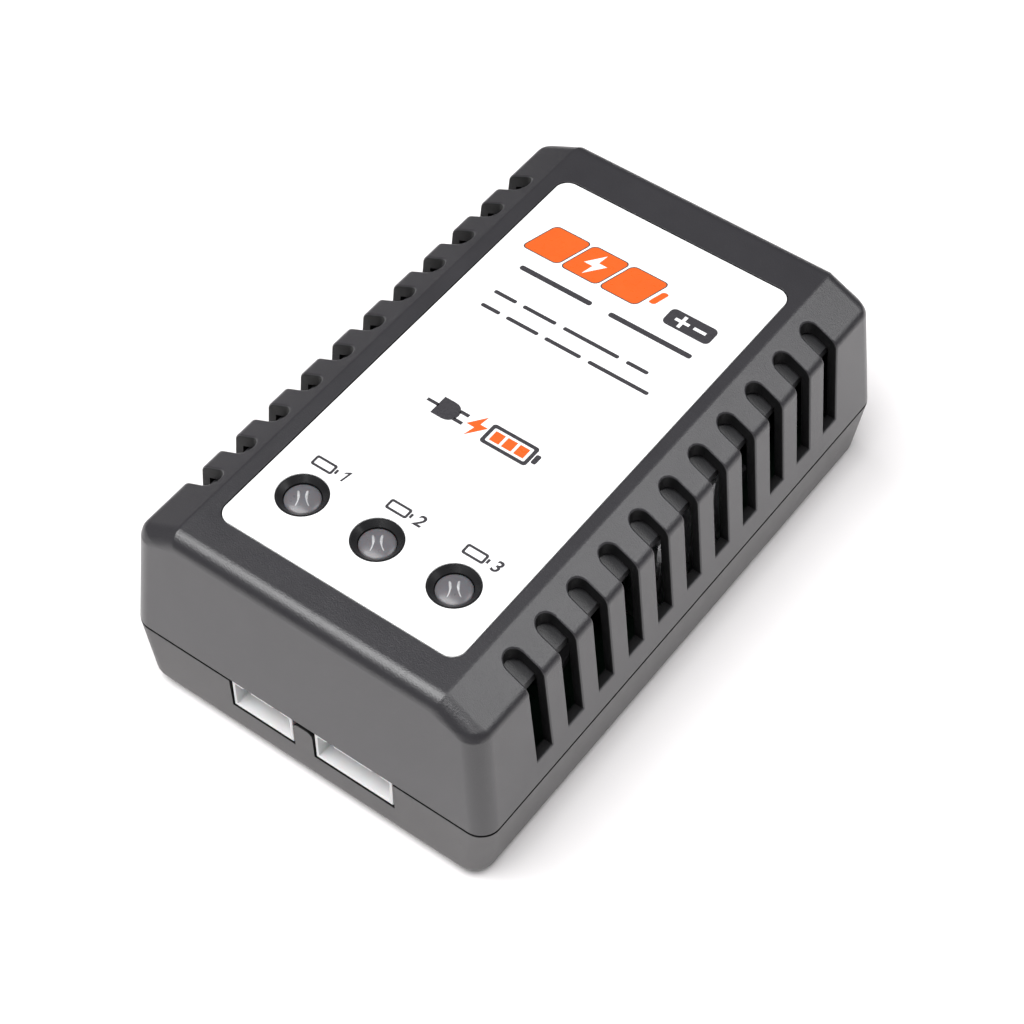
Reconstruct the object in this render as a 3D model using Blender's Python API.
"""Compact balance battery charger for 2-cell and 3-cell radio-control packs.

A two-piece plastic case with eleven vent slots down each long side, a white
label with three round indicator wells, two white balance ports in the front
wall (-Y), a figure-eight mains inlet in the rear wall (+Y), and the circuit
board with its parts inside.  X is the width, Y the length, Z up, and the
underside lies on z = 0.  Dimensions below are in millimetres.
"""

import math

import bmesh
import bpy
from mathutils import Matrix, Vector

MM = 0.001

# Case outline: half sizes at the parting line, and the heights.
HALF_W, HALF_L = 28.65, 45.0
SPLIT_Z, HEIGHT = 11.8, 33.0
PARTING_GAP = 0.3
CORNER_R = 2.8
TOP_SIDE_DRAFT, TOP_END_DRAFT = math.radians(5.8), math.radians(3.65)
LOW_SIDE_DRAFT, LOW_END_DRAFT = math.radians(7.6), math.radians(1.3)
WALL, ROOF, FLOOR = 1.4, 2.0, 1.8

# Long chamfers between the flat top and the sides.
TOP_HALF_W = 20.6
CHAMFER_TAN = 0.52
CHAMFER_WALL = 2.1
CREST_Z, CREST_R = 29.76, 1.8
END_R = 2.1
FOOT_R, FOOT_CORNER_R = 2.65, 3.0

# Vent slots, the same on both long sides.
SLOTS, SLOT_PITCH, SLOT_W = 11, 6.53, 3.05
SLOT_MID_Y, SLOT_FOOT_Z, SLOT_HEAD_X = 0.4, 15.8, 23.73
BAFFLE_DROP, BAFFLE_T, BAFFLE_X = 2.7, 1.4, (20.9, 25.1)

# Label and indicator wells.
LABEL_X, LABEL_Y = (-18.35, 18.75), (-37.42, 35.95)
LABEL_R, LABEL_T, LABEL_DROP = 2.0, 0.3, 0.05
POCKET_DEPTH, POCKET_GAP = 0.55, 0.15
LED_X, LED_Y, LED_R = (-11.8, 0.0, 11.8), -28.6, 2.4
HOLE_R, LIP_R, WELL_R = 3.45, 3.35, 3.2
LIP_Z, WELL_FOOT_R, WELL_FOOT_Z = 32.93, 2.5, 32.25

# Screws, posts and board.
POST_X, POST_Y = 17.5, 38.3
BOARD_Z, BOARD_T = 4.4, 1.6
BOARD_TOP = BOARD_Z + BOARD_T
SEAT = BOARD_TOP + 0.25

# Ports: centre x, number of contacts, body width.
PORTS = {"2s": (-6.95, 3, 9.9), "3s": (7.8, 4, 12.4)}
PORT_Z = (SEAT, SPLIT_Z - 0.3)
PORT_Y = (-44.8, -33.4)
MOUTH_DEPTH, CONTACT_SET_BACK = 8.4, 4.4
CONTACT_PITCH = 2.5
INLET_HALF_W, INLET_Z, INLET_Y = 10.2, (SEAT, 16.75), (27.6, 44.7)
INLET_DEPTH, INLET_SET_BACK = 12.2, 4.4

# name: (base colour, roughness, metallic)
FINISH = {
    "case_plastic": ((0.075, 0.076, 0.082), 0.55, 0.0),
    "vent_plastic": ((0.13, 0.13, 0.135), 0.6, 0.0),
    "label_film": ((0.86, 0.86, 0.85), 0.25, 0.0),
    "led_epoxy": ((0.55, 0.56, 0.57), 0.12, 0.0),
    "port_nylon": ((0.84, 0.85, 0.83), 0.4, 0.0),
    "black_nylon": ((0.02, 0.02, 0.022), 0.5, 0.0),
    "tinned_metal": ((0.72, 0.71, 0.68), 0.3, 1.0),
    "steel": ((0.42, 0.42, 0.44), 0.35, 1.0),
    "board_laminate": ((0.03, 0.16, 0.07), 0.45, 0.0),
    "ferrite": ((0.045, 0.045, 0.05), 0.7, 0.0),
    "winding_tape": ((0.75, 0.55, 0.08), 0.4, 0.0),
    "capacitor_sleeve": ((0.03, 0.035, 0.06), 0.35, 0.0),
    "epoxy_yellow": ((0.72, 0.52, 0.05), 0.45, 0.0),
    "epoxy_blue": ((0.05, 0.16, 0.45), 0.35, 0.0),
    "ic_mould": ((0.025, 0.025, 0.027), 0.6, 0.0),
    "aluminium": ((0.75, 0.76, 0.77), 0.38, 1.0),
}


def clear_scene():
    for obj in list(bpy.data.objects):
        bpy.data.objects.remove(obj, do_unlink=True)


def material(name):
    found = bpy.data.materials.get(name)
    if found:
        return found
    colour, roughness, metallic = FINISH[name]
    made = bpy.data.materials.new(name)
    made.use_nodes = True
    shader = made.node_tree.nodes["Principled BSDF"]
    shader.inputs["Base Color"].default_value = (*colour, 1.0)
    shader.inputs["Roughness"].default_value = roughness
    shader.inputs["Metallic"].default_value = metallic
    made.diffuse_color = (*colour, 1.0)
    return made


def add(name, points, faces, finish=None, smooth=False):
    """A mesh object from millimetre points; without a finish it is a hidden cutter."""
    mesh = bpy.data.meshes.new(name)
    bm = bmesh.new()
    verts = [bm.verts.new(Vector(p) * MM) for p in points]
    for face in faces:
        bm.faces.new([verts[i] for i in face])
    bmesh.ops.recalc_face_normals(bm, faces=bm.faces)
    bm.to_mesh(mesh)
    bm.free()
    obj = bpy.data.objects.new(name, mesh)
    bpy.context.scene.collection.objects.link(obj)
    if finish:
        mesh.materials.append(material(finish))
    else:
        obj.hide_render = True
        obj.display_type = "WIRE"
    for polygon in mesh.polygons:
        polygon.use_smooth = smooth
    return obj


def combine(target, cutter, operation="DIFFERENCE"):
    modifier = target.modifiers.new(cutter.name, "BOOLEAN")
    modifier.operation = operation
    modifier.solver = "EXACT"
    modifier.object = cutter
    return target


def loft_faces(count, rings, start=0):
    """Quads between rings of equal length, and a cap on the first and the last."""
    faces = [[start + i for i in range(count)]]
    for ring in range(rings - 1):
        low, high = start + ring * count, start + (ring + 1) * count
        for i in range(count):
            j = (i + 1) % count
            faces.append([low + i, low + j, high + j, high + i])
    faces.append([start + (rings - 1) * count + i for i in range(count)])
    return faces


def loft(name, rings, finish=None, smooth=False):
    points = [p for ring in rings for p in ring]
    return add(name, points, loft_faces(len(rings[0]), len(rings)), finish, smooth)


def prisms(name, outlines, axis, low, high, finish=None):
    """Each outline of (u, v) pairs pushed along an axis from low to high."""
    points, faces = [], []
    for outline in outlines:
        start = len(points)
        for level in (low, high):
            for u, v in outline:
                points.append({"X": (level, u, v), "Y": (u, level, v), "Z": (u, v, level)}[axis])
        faces += loft_faces(len(outline), 2, start)
    return add(name, points, faces, finish)


def rectangle(u, v):
    return [(u[0], v[0]), (u[1], v[0]), (u[1], v[1]), (u[0], v[1])]


def circle(u, v, radius, count):
    turn = 2 * math.pi / count
    return [(u + radius * math.cos(i * turn), v + radius * math.sin(i * turn)) for i in range(count)]


def rounded(u, v, radius, steps):
    """A rectangle with rounded corners, anticlockwise."""
    points = []
    for su, sv, first in ((1, 1, 0), (-1, 1, 90), (-1, -1, 180), (1, -1, 270)):
        cu = (u[1] if su > 0 else u[0]) - su * radius
        cv = (v[1] if sv > 0 else v[0]) - sv * radius
        for i in range(steps + 1):
            angle = math.radians(first + 90 * i / steps)
            points.append((cu + radius * math.cos(angle), cv + radius * math.sin(angle)))
    return points


def box(name, x, y, z, finish=None, bevel=0.0):
    obj = prisms(name, [rectangle(x, y)], "Z", z[0], z[1], finish)
    if bevel:
        modifier = obj.modifiers.new("edges", "BEVEL")
        modifier.width = bevel * MM
        modifier.segments = 1
    return obj


def turned(name, profile, centre, axis, count, finish=None):
    """A solid of revolution; the profile runs (radius, distance along the axis)."""
    points, faces, rings = [], [], []
    for radius, along in profile:
        if radius == 0:
            rings.append([len(points)])
            points.append((0, 0, along))
            continue
        rings.append(list(range(len(points), len(points) + count)))
        points += [(u, v, along) for u, v in circle(0, 0, radius, count)]
    for low, high in zip(rings, rings[1:]):
        for i in range(count):
            j = (i + 1) % count
            face = [low[i % len(low)], low[j % len(low)], high[j % len(high)], high[i % len(high)]]
            faces.append(list(dict.fromkeys(face)))
    turn = {"X": Matrix.Rotation(math.pi / 2, 3, "Y"), "Y": Matrix.Rotation(-math.pi / 2, 3, "X")}
    points = [turn.get(axis, Matrix.Identity(3)) @ Vector(p) + Vector(centre) for p in points]
    return add(name, points, faces, finish, smooth=True)


def case_ring(half_w, half_l, radius, z):
    return [(x, y, z) for x, y in rounded((-half_w, half_w), (-half_l, half_l), radius, 4)]


def top_half_width(z):
    """Half width of the upper case at a height: drafted side, crest fillet, chamfer."""
    side = HALF_W - (z - SPLIT_Z) * math.tan(TOP_SIDE_DRAFT)
    chamfer = TOP_HALF_W + (HEIGHT - z) / CHAMFER_TAN
    slope = math.atan(CHAMFER_TAN)
    turn = math.pi / 2 - TOP_SIDE_DRAFT - slope
    tangent = CREST_R * math.tan(turn / 2)
    low = CREST_Z - tangent * math.cos(TOP_SIDE_DRAFT)
    high = CREST_Z + tangent * math.sin(slope)
    if z <= low:
        return side
    if z >= high:
        return chamfer
    at_low = HALF_W - (low - SPLIT_Z) * math.tan(TOP_SIDE_DRAFT)
    centre_w = at_low - CREST_R * math.cos(TOP_SIDE_DRAFT)
    centre_z = low - CREST_R * math.sin(TOP_SIDE_DRAFT)
    return centre_w + math.sqrt(max(CREST_R**2 - (z - centre_z) ** 2, 0))


def top_half_length(z):
    """Half length of the upper case: drafted ends and the soft edge onto the top."""
    tangent = END_R * math.tan((math.pi / 2 - TOP_END_DRAFT) / 2)
    flat = HALF_L - (HEIGHT - SPLIT_Z) * math.tan(TOP_END_DRAFT) - tangent
    if z <= HEIGHT - tangent * math.cos(TOP_END_DRAFT):
        return HALF_L - (z - SPLIT_Z) * math.tan(TOP_END_DRAFT)
    return flat + math.sqrt(max(END_R**2 - (z - HEIGHT + END_R) ** 2, 0))


def top_ring(z, arcs, lines):
    """Outline of the upper case at a height.

    One rolling fillet runs round the end wall: along the top edge and down the chamfers,
    where a level cut through it is an ellipse.  The two stretches meet in a mitre.
    """
    half_w, half_l = top_half_width(z), top_half_length(z)
    wall = HALF_L - (z - SPLIT_Z) * math.tan(TOP_END_DRAFT)
    fade = min(max((z - 28.8) / 1.5, 0.0), 1.0)
    radius_x = CORNER_R + (END_R / math.sin(math.atan(CHAMFER_TAN)) - CORNER_R) * fade
    radius_y = CORNER_R + (END_R - CORNER_R) * fade
    centre_x, centre_y = half_w - radius_x, wall - radius_y
    last = math.asin(min(max((half_l - centre_y) / radius_y, 0.02), 1.0))
    quarter = []
    for i in range(arcs):
        angle = last * i / (arcs - 1)
        quarter.append((centre_x + radius_x * math.cos(angle), centre_y + radius_y * math.sin(angle)))
    start = quarter[-1][0]
    for i in range(1, lines + 1):
        quarter.append((start + (centre_x - 0.6 - start) * i / lines, half_l))
    back = quarter[::-1]
    return ([(x, y, z) for x, y in quarter] + [(-x, y, z) for x, y in back]
            + [(-x, -y, z) for x, y in quarter] + [(x, -y, z) for x, y in back])


def low_half(z, half, draft):
    """Half size of the lower case: drafted wall and the round foot."""
    tangent = FOOT_R * math.tan((math.pi / 2 - draft) / 2)
    rim = SPLIT_Z - PARTING_GAP
    flat = half - rim * math.tan(draft) - tangent
    if z >= tangent * math.cos(draft):
        return half - (rim - z) * math.tan(draft)
    return flat + math.sqrt(max(FOOT_R**2 - (FOOT_R - z) ** 2, 0))


def slot_outline(side, y):
    """Plan of one vent slot: round at the inner end, open through the side."""
    radius = SLOT_W / 2
    points = [(31.0, y - radius), (31.0, y + radius)]
    for i in range(9):
        angle = math.pi / 2 + math.pi * i / 8
        points.append((SLOT_HEAD_X + radius * math.cos(angle), y + radius * math.sin(angle)))
    return [(side * x, y) for x, y in points]


def posts(name, radius, low, high, count=14):
    centres = [(sx * POST_X, sy * POST_Y) for sx in (-1, 1) for sy in (-1, 1)]
    return prisms(name, [circle(x, y, radius, count) for x, y in centres], "Z", low, high)


def build_top_shell():
    levels = [SPLIT_Z, 28.79, 29.3, 29.8, 30.21, 31.03, 31.65, 32.25, 32.65, 32.88, HEIGHT]
    rings = []
    for z in reversed(levels):
        rings.append(top_ring(z, 4, 1))
    side_tan, end_tan = math.tan(TOP_SIDE_DRAFT), math.tan(TOP_END_DRAFT)
    inner_crest = 28.37
    for z in (SPLIT_Z, inner_crest):
        half_w = HALF_W - WALL - (z - SPLIT_Z) * side_tan
        half_l = HALF_L - WALL - (z - SPLIT_Z) * end_tan
        rings.append(case_ring(half_w, half_l, CORNER_R - WALL, z))
    roof = HEIGHT - ROOF
    roof_half = TOP_HALF_W + (HEIGHT - CHAMFER_WALL - roof) / CHAMFER_TAN
    rings.append(case_ring(roof_half, HALF_L - WALL - (roof - SPLIT_Z) * end_tan - 0.6, 1.0, roof))
    shell = loft("top_shell", rings, "case_plastic")
    combine(shell, posts("screw_posts", 3.1, SEAT + 0.05, roof + 0.6), "UNION")
    combine(shell, posts("screw_pilots", 1.55, 5.0, 21.0, 10))
    slots = [
        slot_outline(side, SLOT_MID_Y + (i - (SLOTS - 1) / 2) * SLOT_PITCH)
        for side in (-1, 1)
        for i in range(SLOTS)
    ]
    combine(shell, prisms("slots", slots, "Z", SLOT_FOOT_Z, HEIGHT + 2))
    gap = POCKET_GAP
    pocket = rounded(
        (LABEL_X[0] - gap, LABEL_X[1] + gap), (LABEL_Y[0] - gap, LABEL_Y[1] + gap), LABEL_R + gap, 4
    )
    combine(shell, prisms("label_pocket", [pocket], "Z", HEIGHT - POCKET_DEPTH, HEIGHT + 1))
    # Each light shows at the foot of a shallow cone, in a boss that fills the label's hole.
    bosses = [circle(x, LED_Y, LIP_R, 20) for x in LED_X]
    combine(shell, prisms("light_bosses", bosses, "Z", roof + 0.5, LIP_Z), "UNION")
    widen = (WELL_R - WELL_FOOT_R) / (LIP_Z - WELL_FOOT_Z)
    for i, x in enumerate(LED_X, 1):
        well = [
            (0, 29.0),
            (WELL_FOOT_R, 29.0),
            (WELL_FOOT_R, WELL_FOOT_Z),
            (WELL_R + 0.3 * widen, LIP_Z + 0.3),
            (0, LIP_Z + 0.3),
        ]
        combine(shell, turned(f"well_{i}", well, (x, LED_Y, 0), "Z", 20))
    inlet = rectangle((-INLET_HALF_W - 0.35, INLET_HALF_W + 0.35), (SPLIT_Z - 3, INLET_Z[1] + 0.3))
    combine(shell, prisms("top_inlet_notch", [inlet], "Y", 39.0, 47.0))


def build_bottom_shell():
    rim = SPLIT_Z - PARTING_GAP
    rings = []
    for z in (0.0, 0.2, 0.7, 1.5, 2.6, rim):
        fade = max(0.0, 1 - z / 6.0)
        radius = CORNER_R + (FOOT_CORNER_R - CORNER_R) * fade
        half_w = low_half(z, HALF_W, LOW_SIDE_DRAFT)
        half_l = low_half(z, HALF_L, LOW_END_DRAFT)
        rings.append(case_ring(half_w, half_l, radius, z))
    # Tongue that stands up inside the upper case, then the inside of the wall.
    for inset, z in ((1.75, rim), (1.75, rim + 1.2), (2.6, rim + 1.2), (2.6, rim - 0.6), (1.8, rim - 1.6)):
        rings.append(case_ring(HALF_W - inset, HALF_L - inset, max(CORNER_R - inset, 0.5), z))
    for inset, z in ((1.8, 4.0), (3.0, FLOOR)):
        half_w = HALF_W - (rim - z) * math.tan(LOW_SIDE_DRAFT) - inset
        half_l = HALF_L - (rim - z) * math.tan(LOW_END_DRAFT) - inset
        rings.append(case_ring(half_w, half_l, 1.0, z))
    shell = loft("bottom_shell", rings, "case_plastic")
    combine(shell, posts("board_posts", 4.3, FLOOR - 0.5, BOARD_Z - 0.3, 16), "UNION")
    combine(shell, posts("screw_clearance", 1.6, -1.0, 6.0, 10))
    combine(shell, posts("screw_counterbore", 3.1, -1.0, 2.2, 16))
    cutouts = []
    for x, _, width in PORTS.values():
        cutouts.append(rectangle((x - width / 2 - 0.25, x + width / 2 + 0.25), (6.05, 14.0)))
    combine(shell, prisms("port_cutouts", cutouts, "Y", -47.0, -41.0))
    ends = [cutouts[0][1][0] - 0.4, cutouts[1][0][0] + 0.4]
    combine(shell, prisms("tab_relief", [rectangle(ends, (rim - 0.3, 14.0))], "Y", -47.0, -41.0))
    inlet = rectangle((-INLET_HALF_W - 0.35, INLET_HALF_W + 0.35), (6.05, 14.0))
    combine(shell, prisms("low_inlet_notch", [inlet], "Y", 41.0, 47.0))


def build_baffles():
    """Sloping strips just under the chamfers, seen through the inner ends of the slots."""
    for side, word in ((-1, "left"), (1, "right")):
        outline = []
        for x, drop in ((BAFFLE_X[0], 0), (BAFFLE_X[1], 0), (BAFFLE_X[1], BAFFLE_T), (BAFFLE_X[0], BAFFLE_T)):
            z = HEIGHT - (x - TOP_HALF_W) * CHAMFER_TAN - BAFFLE_DROP - drop
            outline.append((side * x, z))
        prisms(f"vent_baffle_{word}", [outline], "Y", -36.5, 37.5, "vent_plastic")


def build_label():
    low = HEIGHT - LABEL_DROP - LABEL_T
    outline = rounded(LABEL_X, LABEL_Y, LABEL_R, 4)
    label = prisms("label", [outline], "Z", low, low + LABEL_T, "label_film")
    holes = [circle(x, LED_Y, HOLE_R, 20) for x in LED_X]
    combine(label, prisms("label_holes", holes, "Z", low - 1, low + 1))


def build_leds():
    base, shoulder, dome = 23.0, 31.95, 32.55
    for i, x in enumerate(LED_X, 1):
        profile = [(0, base), (2.85, base), (2.85, base + 1), (LED_R, base + 1)]
        for step in range(5):
            angle = math.radians(step * 18)
            profile.append((LED_R * math.cos(angle), shoulder + (dome - shoulder) * math.sin(angle)))
        profile.append((0, dome))
        turned(f"led_{i}", profile, (x, LED_Y, 0), "Z", 18, "led_epoxy")
        for side, word in ((-1, "a"), (1, "b")):
            lead = x + side * 1.27
            box(
                f"led_{i}_lead_{word}",
                (lead - 0.25, lead + 0.25),
                (LED_Y - 0.25, LED_Y + 0.25),
                (SEAT, base - 0.2),
                "tinned_metal",
            )


def build_ports():
    low, high = PORT_Z
    middle = 8.95
    for word, (x, count, width) in PORTS.items():
        left, right = x - width / 2, x + width / 2
        body = box(f"balance_port_{word}", (left, right), PORT_Y, PORT_Z, "port_nylon")
        cavity = [rectangle((left + 0.85, right - 0.85), (low + 0.6, high - 0.45))]
        combine(body, prisms(f"mouth_{word}", cavity, "Y", PORT_Y[0] - 1, PORT_Y[0] + MOUTH_DEPTH))
        keys = [
            rectangle((k - 0.55, k + 0.55), (high - 1.0, high + 1.0))
            for k in (left + 2.55, right - 2.55)
        ]
        combine(body, prisms(f"keys_{word}", keys, "Y", PORT_Y[0] - 1, PORT_Y[0] + 5.0))
        contacts = [x + (i - (count - 1) / 2) * CONTACT_PITCH for i in range(count)]
        holes = [rectangle((c - 0.6, c + 0.6), (middle - 0.6, middle + 0.6)) for c in contacts]
        combine(body, prisms(f"holes_{word}", holes, "Y", PORT_Y[0] + 6, PORT_Y[1] + 1))
        for i, c in enumerate(contacts, 1):
            front, back = PORT_Y[0] + CONTACT_SET_BACK, PORT_Y[1] + 1.2
            half = 0.32
            outline = [
                (front + 0.4, middle - half + 0.12),
                (back - 2 * half, middle - half),
                (back - 2 * half, SEAT),
                (back, SEAT),
                (back, middle + half),
                (front + 0.4, middle + half - 0.12),
                (front, middle + 0.12),
                (front, middle - 0.12),
            ]
            prisms(f"port_{word}_pin_{i}", [outline], "X", c - half, c + half, "tinned_metal")


def build_inlet():
    middle = (INLET_Z[0] + INLET_Z[1]) / 2
    half = INLET_HALF_W
    body = box("ac_inlet", (-half, half), INLET_Y, INLET_Z, "black_nylon", 0.5)
    radius, offset = 4.1, 3.1
    waist = math.acos(offset / radius)
    mouth = []
    for side in (1, -1):
        for i in range(11):
            angle = -(math.pi - waist) + 2 * (math.pi - waist) * i / 10
            if side < 0:
                angle += math.pi
            mouth.append((side * offset + radius * math.cos(angle), middle + radius * math.sin(angle)))
    del mouth[11], mouth[-1]
    combine(body, prisms("inlet_mouth", [mouth], "Y", INLET_Y[1] - INLET_DEPTH, INLET_Y[1] + 1))
    holes = [circle(side * 4.3, middle, 1.5, 12) for side in (-1, 1)]
    combine(body, prisms("inlet_holes", holes, "Y", INLET_Y[0] - 1, INLET_Y[1] - 11.0))
    for side, word in ((-1, "a"), (1, "b")):
        low, high = INLET_Y[0] - 1.2, INLET_Y[1] - INLET_SET_BACK
        profile = [(0, low), (1.18, low), (1.18, high - 0.8), (0.7, high - 0.15), (0, high)]
        centre = (side * 4.3, 0, middle)
        turned(f"ac_inlet_pin_{word}", profile, centre, "Y", 12, "tinned_metal")


def build_screws():
    for sx, wx in ((-1, "left"), (1, "right")):
        for sy, wy in ((-1, "front"), (1, "rear")):
            x, y = sx * POST_X, sy * POST_Y
            profile = [(0, 0.5), (2.3, 0.5), (2.7, 0.9), (2.7, 1.9), (1.2, 1.9), (1.2, 16.6), (0, 18.0)]
            screw = turned(f"case_screw_{wy}_{wx}", profile, (x, y, 0), "Z", 12, "steel")
            cross = [
                (1.3, 0.25), (0.25, 0.25), (0.25, 1.3), (-0.25, 1.3), (-0.25, 0.25), (-1.3, 0.25),
                (-1.3, -0.25), (-0.25, -0.25), (-0.25, -1.3), (0.25, -1.3), (0.25, -0.25), (1.3, -0.25),
            ]
            outline = [(x + u, y + v) for u, v in cross]
            combine(screw, prisms(f"recess_{wy}_{wx}", [outline], "Z", 0.0, 1.3))


def build_board():
    outline = rounded((-25.6, 25.6), (-42.4, 42.4), 1.5, 2)
    board = prisms("main_board", [outline], "Z", BOARD_Z, BOARD_TOP, "board_laminate")
    combine(board, posts("board_holes", 1.6, BOARD_Z - 1, BOARD_TOP + 1, 10))


def can(name, x, y, radius, height, finish="capacitor_sleeve"):
    """An electrolytic capacitor standing on the board, with its rolled groove."""
    low, high = SEAT, SEAT + height
    profile = [
        (0, low), (radius, low), (radius, low + 1.6), (radius - 0.45, low + 2.2), (radius, low + 2.8),
        (radius, high - 0.5), (radius - 0.5, high), (0, high),
    ]
    return turned(name, profile, (x, y, 0), "Z", 16, finish)


def build_electronics():
    # Mains side: protection, filter, rectifier and reservoir.
    turned(
        "fuse",
        [(0, SEAT), (4.2, SEAT), (4.2, 13.4), (3.6, 14.2), (0, 14.2)],
        (-15.8, 29.5, 0), "Z", 16, "ic_mould",
    )
    disc = [(0, -2.0), (3.4, -2.0), (4.5, -1.0), (4.5, 1.0), (3.4, 2.0), (0, 2.0)]
    turned("surge_thermistor", disc, (15.8, 30.5, 11.2), "Y", 16, "ic_mould")
    box("filter_capacitor", (-8.6, 8.6), (20.6, 26.2), (SEAT, 17.6), "epoxy_yellow", 0.4)
    box("bridge_rectifier", (12.6, 21.0), (18.4, 24.8), (SEAT + 0.6, 10.4), "ic_mould", 0.35)
    can("reservoir_capacitor", -17.2, 17.6, 5.0, 18.0)
    # Transformer: base, core with two windows, winding round the middle leg.
    box("transformer_base", (-9.8, 9.8), (-4.4, 15.4), (SEAT, 7.9), "ic_mould", 0.3)
    core = box("transformer_core", (-9.6, 9.6), (2.9, 8.1), (8.2, 25.2), "ferrite", 0.3)
    windows = [rectangle((2.6, 7.0), (11.2, 22.2)), rectangle((-7.0, -2.6), (11.2, 22.2))]
    combine(core, prisms("core_windows", windows, "Y", 0.0, 11.0))
    coil = box("transformer_winding", (-6.7, 6.7), (-1.6, 12.6), (11.5, 21.9), "winding_tape", 0.9)
    combine(coil, box("coil_bore", (-2.9, 2.9), (2.6, 8.4), (10.0, 23.0)))
    # Switch and its finned heat sink.
    comb = [(19.6, -3.0), (24.4, -3.0)]
    for i in range(4):
        y = -3.0 + i * 4.0
        comb += [(24.4, y + 1.1), (21.2, y + 1.1), (21.2, y + 4.0), (24.4, y + 4.0)]
    comb += [(24.4, 14.1), (19.6, 14.1)]
    prisms("heat_sink", [comb], "Z", SEAT, 23.6, "aluminium")
    tab = [(14.8, 9.4), (19.3, 9.4), (19.3, 23.4), (18.0, 23.4), (18.0, 18.4), (14.8, 18.4)]
    switch = prisms("power_switch", [tab], "Y", 0.6, 10.6, "ic_mould")
    legs = [rectangle((16.7, 17.4), (y - 0.45, y + 0.45)) for y in (3.06, 5.6, 8.14)]
    combine(switch, prisms("switch_legs", legs, "Z", SEAT, 10.4), "UNION")
    combine(switch, prisms("tab_hole", [circle(5.6, 21.0, 1.7, 10)], "X", 17.0, 21.0))
    box("switching_controller", (-20.4, -14.0), (1.8, 11.2), (SEAT + 0.5, 10.2), "ic_mould", 0.35)
    box("optocoupler", (-20.4, -14.0), (-4.6, 0.0), (SEAT + 0.5, 10.2), "port_nylon", 0.35)
    turned("safety_capacitor", disc, (-14.8, -7.6, 11.2), "Y", 16, "epoxy_blue")
    # Low-voltage side: rectifier, three reservoirs, choke and one charge stage per cell.
    diode = [(0, -8.0), (0.55, -8.0), (0.55, -4.8), (2.5, -4.8), (2.5, 4.8), (0.55, 4.8), (0.55, 8.0), (0, 8.0)]
    turned("output_diode", diode, (9.0, -8.2, 9.4), "X", 12, "ic_mould")
    for i, x in enumerate((-19.0, -8.8, 1.4), 1):
        can(f"output_capacitor_{i}", x, -15.4, 4.0, 12.0)
    choke = [(0, SEAT), (5.0, SEAT), (5.0, 7.6), (3.6, 8.2), (3.6, 13.8), (5.0, 14.4), (5.0, 15.6), (0, 15.6)]
    turned("output_choke", choke, (14.0, -15.6, 0), "Z", 16, "ferrite")
    for i, x in enumerate((-11.8, 0.0, 11.8), 1):
        box(f"charge_ic_{i}", (x - 2.5, x + 2.5), (-25.4, -21.4), (SEAT, 7.9), "ic_mould", 0.25)


clear_scene()
build_top_shell()
build_bottom_shell()
build_baffles()
build_label()
build_leds()
build_ports()
build_inlet()
build_screws()
build_board()
build_electronics()
